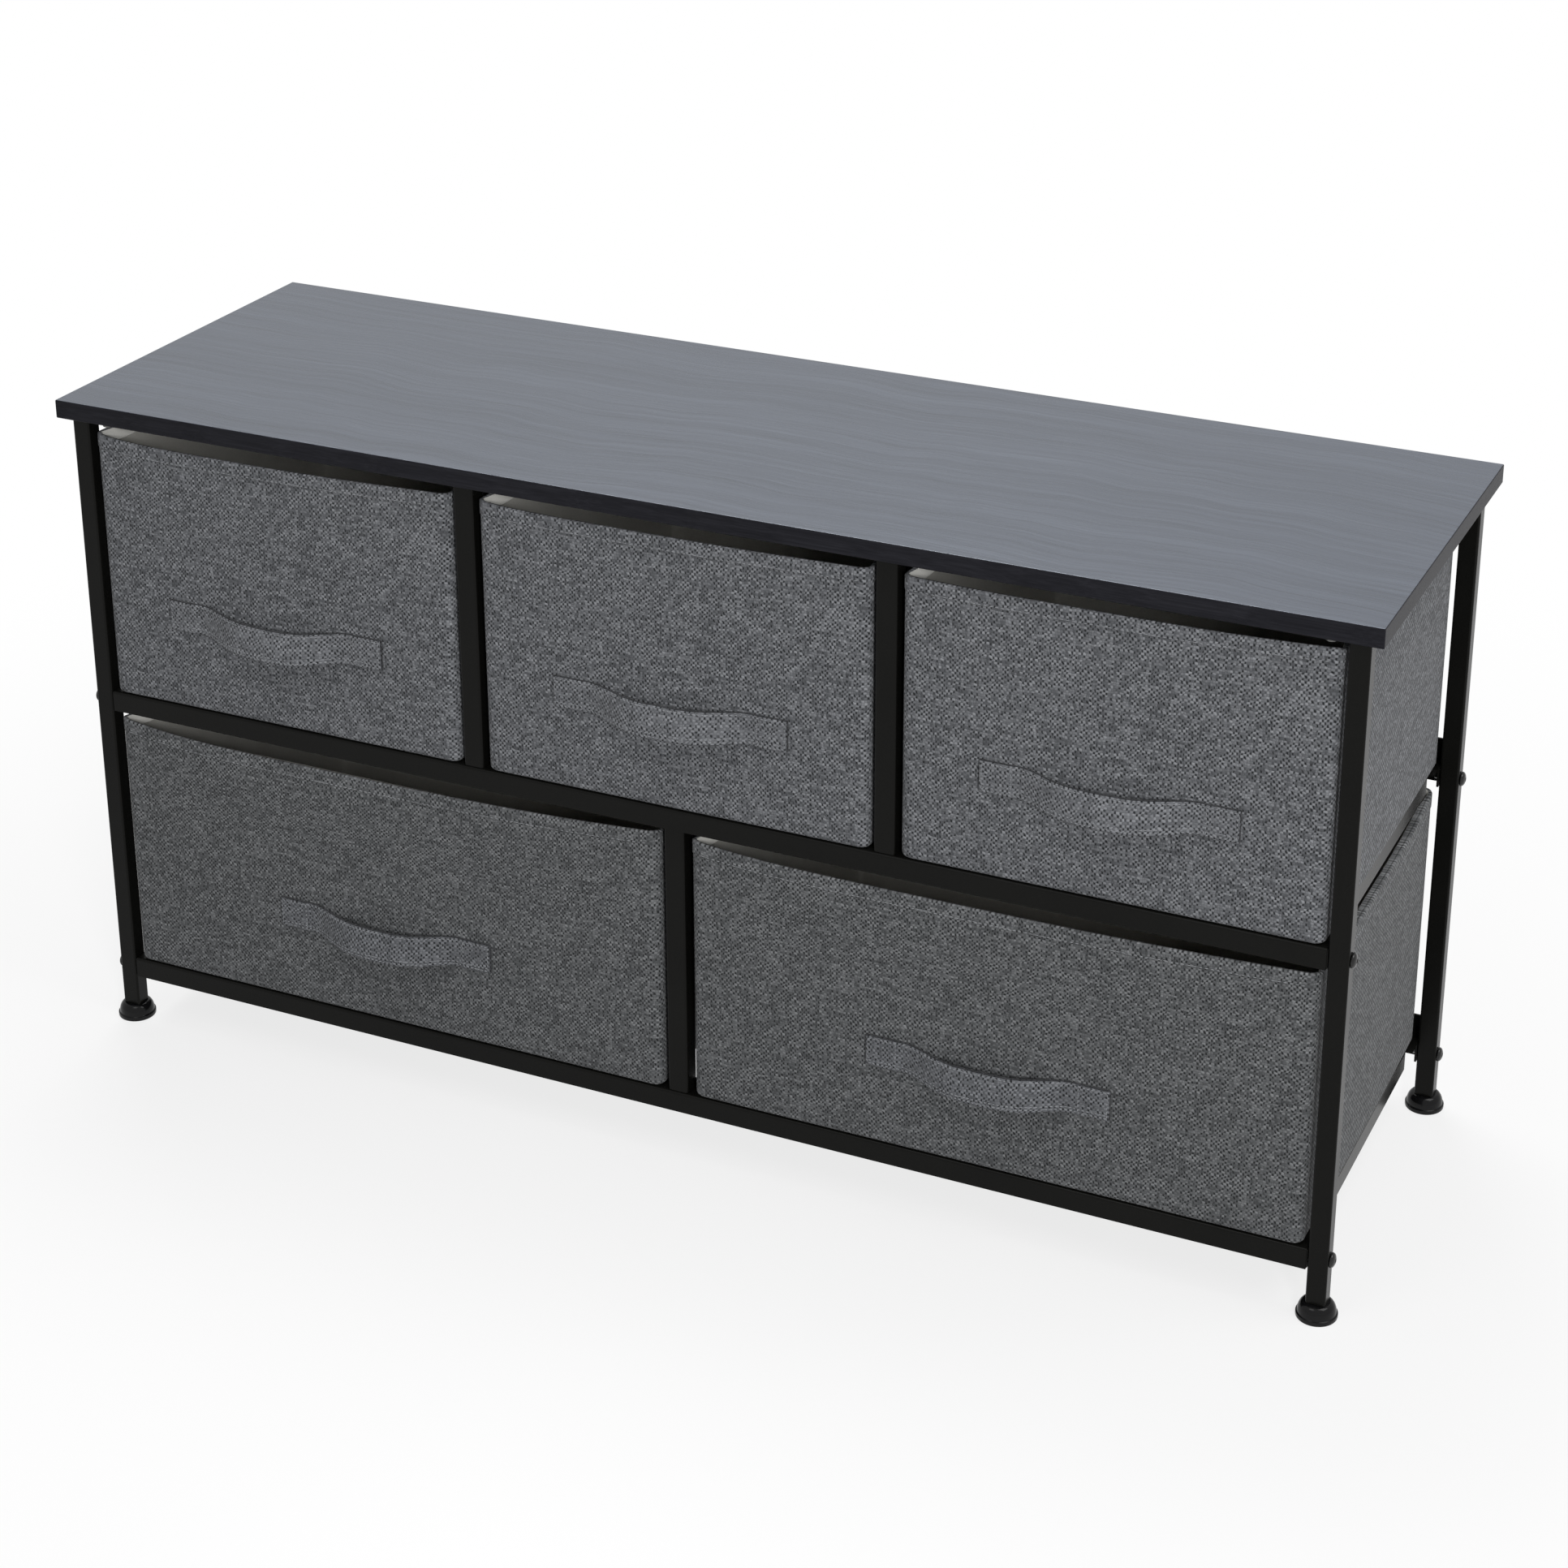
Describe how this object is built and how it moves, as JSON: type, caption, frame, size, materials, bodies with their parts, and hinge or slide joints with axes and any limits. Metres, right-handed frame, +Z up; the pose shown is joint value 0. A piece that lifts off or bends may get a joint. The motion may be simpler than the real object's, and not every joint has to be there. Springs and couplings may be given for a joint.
{
  "type": "fabric drawer dresser",
  "caption": "Low, wide dresser with a dark laminate top on a black steel frame, holding fabric bins with strap handles in a row of narrow ones above a row of wide ones.",
  "frame": {"origin": "on the floor, under the middle of the bounding box, handles included", "axes": "+X to the right along the width, +Y from the handles to the back, +Z up"},
  "size_m": [1, 0.329, 0.5184],
  "materials": {
    "black_laminate": "satin black laminate with a fine wood grain along X",
    "powder_coat": "near-black powder coat, semi-gloss",
    "foot_plastic": "glossy black plastic",
    "bolt_steel": "black oxide steel with a slight gloss",
    "screw_steel": "bright zinc plate",
    "charcoal_linen": "heathered charcoal linen-look weave",
    "strap_linen": "heathered charcoal linen-look strap",
    "stiffener_board": "beige-grey lining over board"
  },
  "bodies": {
    "frame": {"top_board": "black_laminate", "leg_front_left": "powder_coat", "leg_front_right": "powder_coat", "leg_back_left": "powder_coat", "leg_back_right": "powder_coat", "foot_front_left": "foot_plastic", "foot_front_right": "foot_plastic", "foot_back_left": "foot_plastic", "foot_back_right": "foot_plastic", "screw_front_left": "screw_steel", "screw_front_right": "screw_steel", "screw_back_left": "screw_steel", "screw_back_right": "screw_steel", "rail_low_front": "powder_coat", "rail_low_back": "powder_coat", "rail_low_left": "powder_coat", "rail_low_right": "powder_coat", "rail_mid_front": "powder_coat", "rail_mid_back": "powder_coat", "rail_mid_left": "powder_coat", "rail_mid_right": "powder_coat", "divider_upper_front_left": "powder_coat", "divider_upper_front_right": "powder_coat", "divider_upper_back_left": "powder_coat", "divider_upper_back_right": "powder_coat", "divider_lower_front": "powder_coat", "divider_lower_back": "powder_coat", "bolt_low_front_left": "bolt_steel", "bolt_low_front_right": "bolt_steel", "bolt_low_back_left": "bolt_steel", "bolt_low_back_right": "bolt_steel", "bolt_mid_front_left": "bolt_steel", "bolt_mid_front_right": "bolt_steel", "bolt_mid_back_left": "bolt_steel", "bolt_mid_back_right": "bolt_steel"},
    "bin_upper_left": {"bin_upper_left_shell": "charcoal_linen", "bin_upper_left_base_board": "stiffener_board", "bin_upper_left_front_board": "stiffener_board", "bin_upper_left_handle": "strap_linen"},
    "bin_upper_middle": {"bin_upper_middle_shell": "charcoal_linen", "bin_upper_middle_base_board": "stiffener_board", "bin_upper_middle_front_board": "stiffener_board", "bin_upper_middle_handle": "strap_linen"},
    "bin_upper_right": {"bin_upper_right_shell": "charcoal_linen", "bin_upper_right_base_board": "stiffener_board", "bin_upper_right_front_board": "stiffener_board", "bin_upper_right_handle": "strap_linen"},
    "bin_lower_left": {"bin_lower_left_shell": "charcoal_linen", "bin_lower_left_base_board": "stiffener_board", "bin_lower_left_front_board": "stiffener_board", "bin_lower_left_handle": "strap_linen"},
    "bin_lower_right": {"bin_lower_right_shell": "charcoal_linen", "bin_lower_right_base_board": "stiffener_board", "bin_lower_right_front_board": "stiffener_board", "bin_lower_right_handle": "strap_linen"}
  },
  "joints": [
    {"name": "bin_upper_left_slide", "type": "slide", "parent": "frame", "child": "bin_upper_left", "axis": [0, -1, 0], "range_m": [0, 0.272]},
    {"name": "bin_upper_middle_slide", "type": "slide", "parent": "frame", "child": "bin_upper_middle", "axis": [0, -1, 0], "range_m": [0, 0.272]},
    {"name": "bin_upper_right_slide", "type": "slide", "parent": "frame", "child": "bin_upper_right", "axis": [0, -1, 0], "range_m": [0, 0.272]},
    {"name": "bin_lower_left_slide", "type": "slide", "parent": "frame", "child": "bin_lower_left", "axis": [0, -1, 0], "range_m": [0, 0.272]},
    {"name": "bin_lower_right_slide", "type": "slide", "parent": "frame", "child": "bin_lower_right", "axis": [0, -1, 0], "range_m": [0, 0.272]}
  ]
}
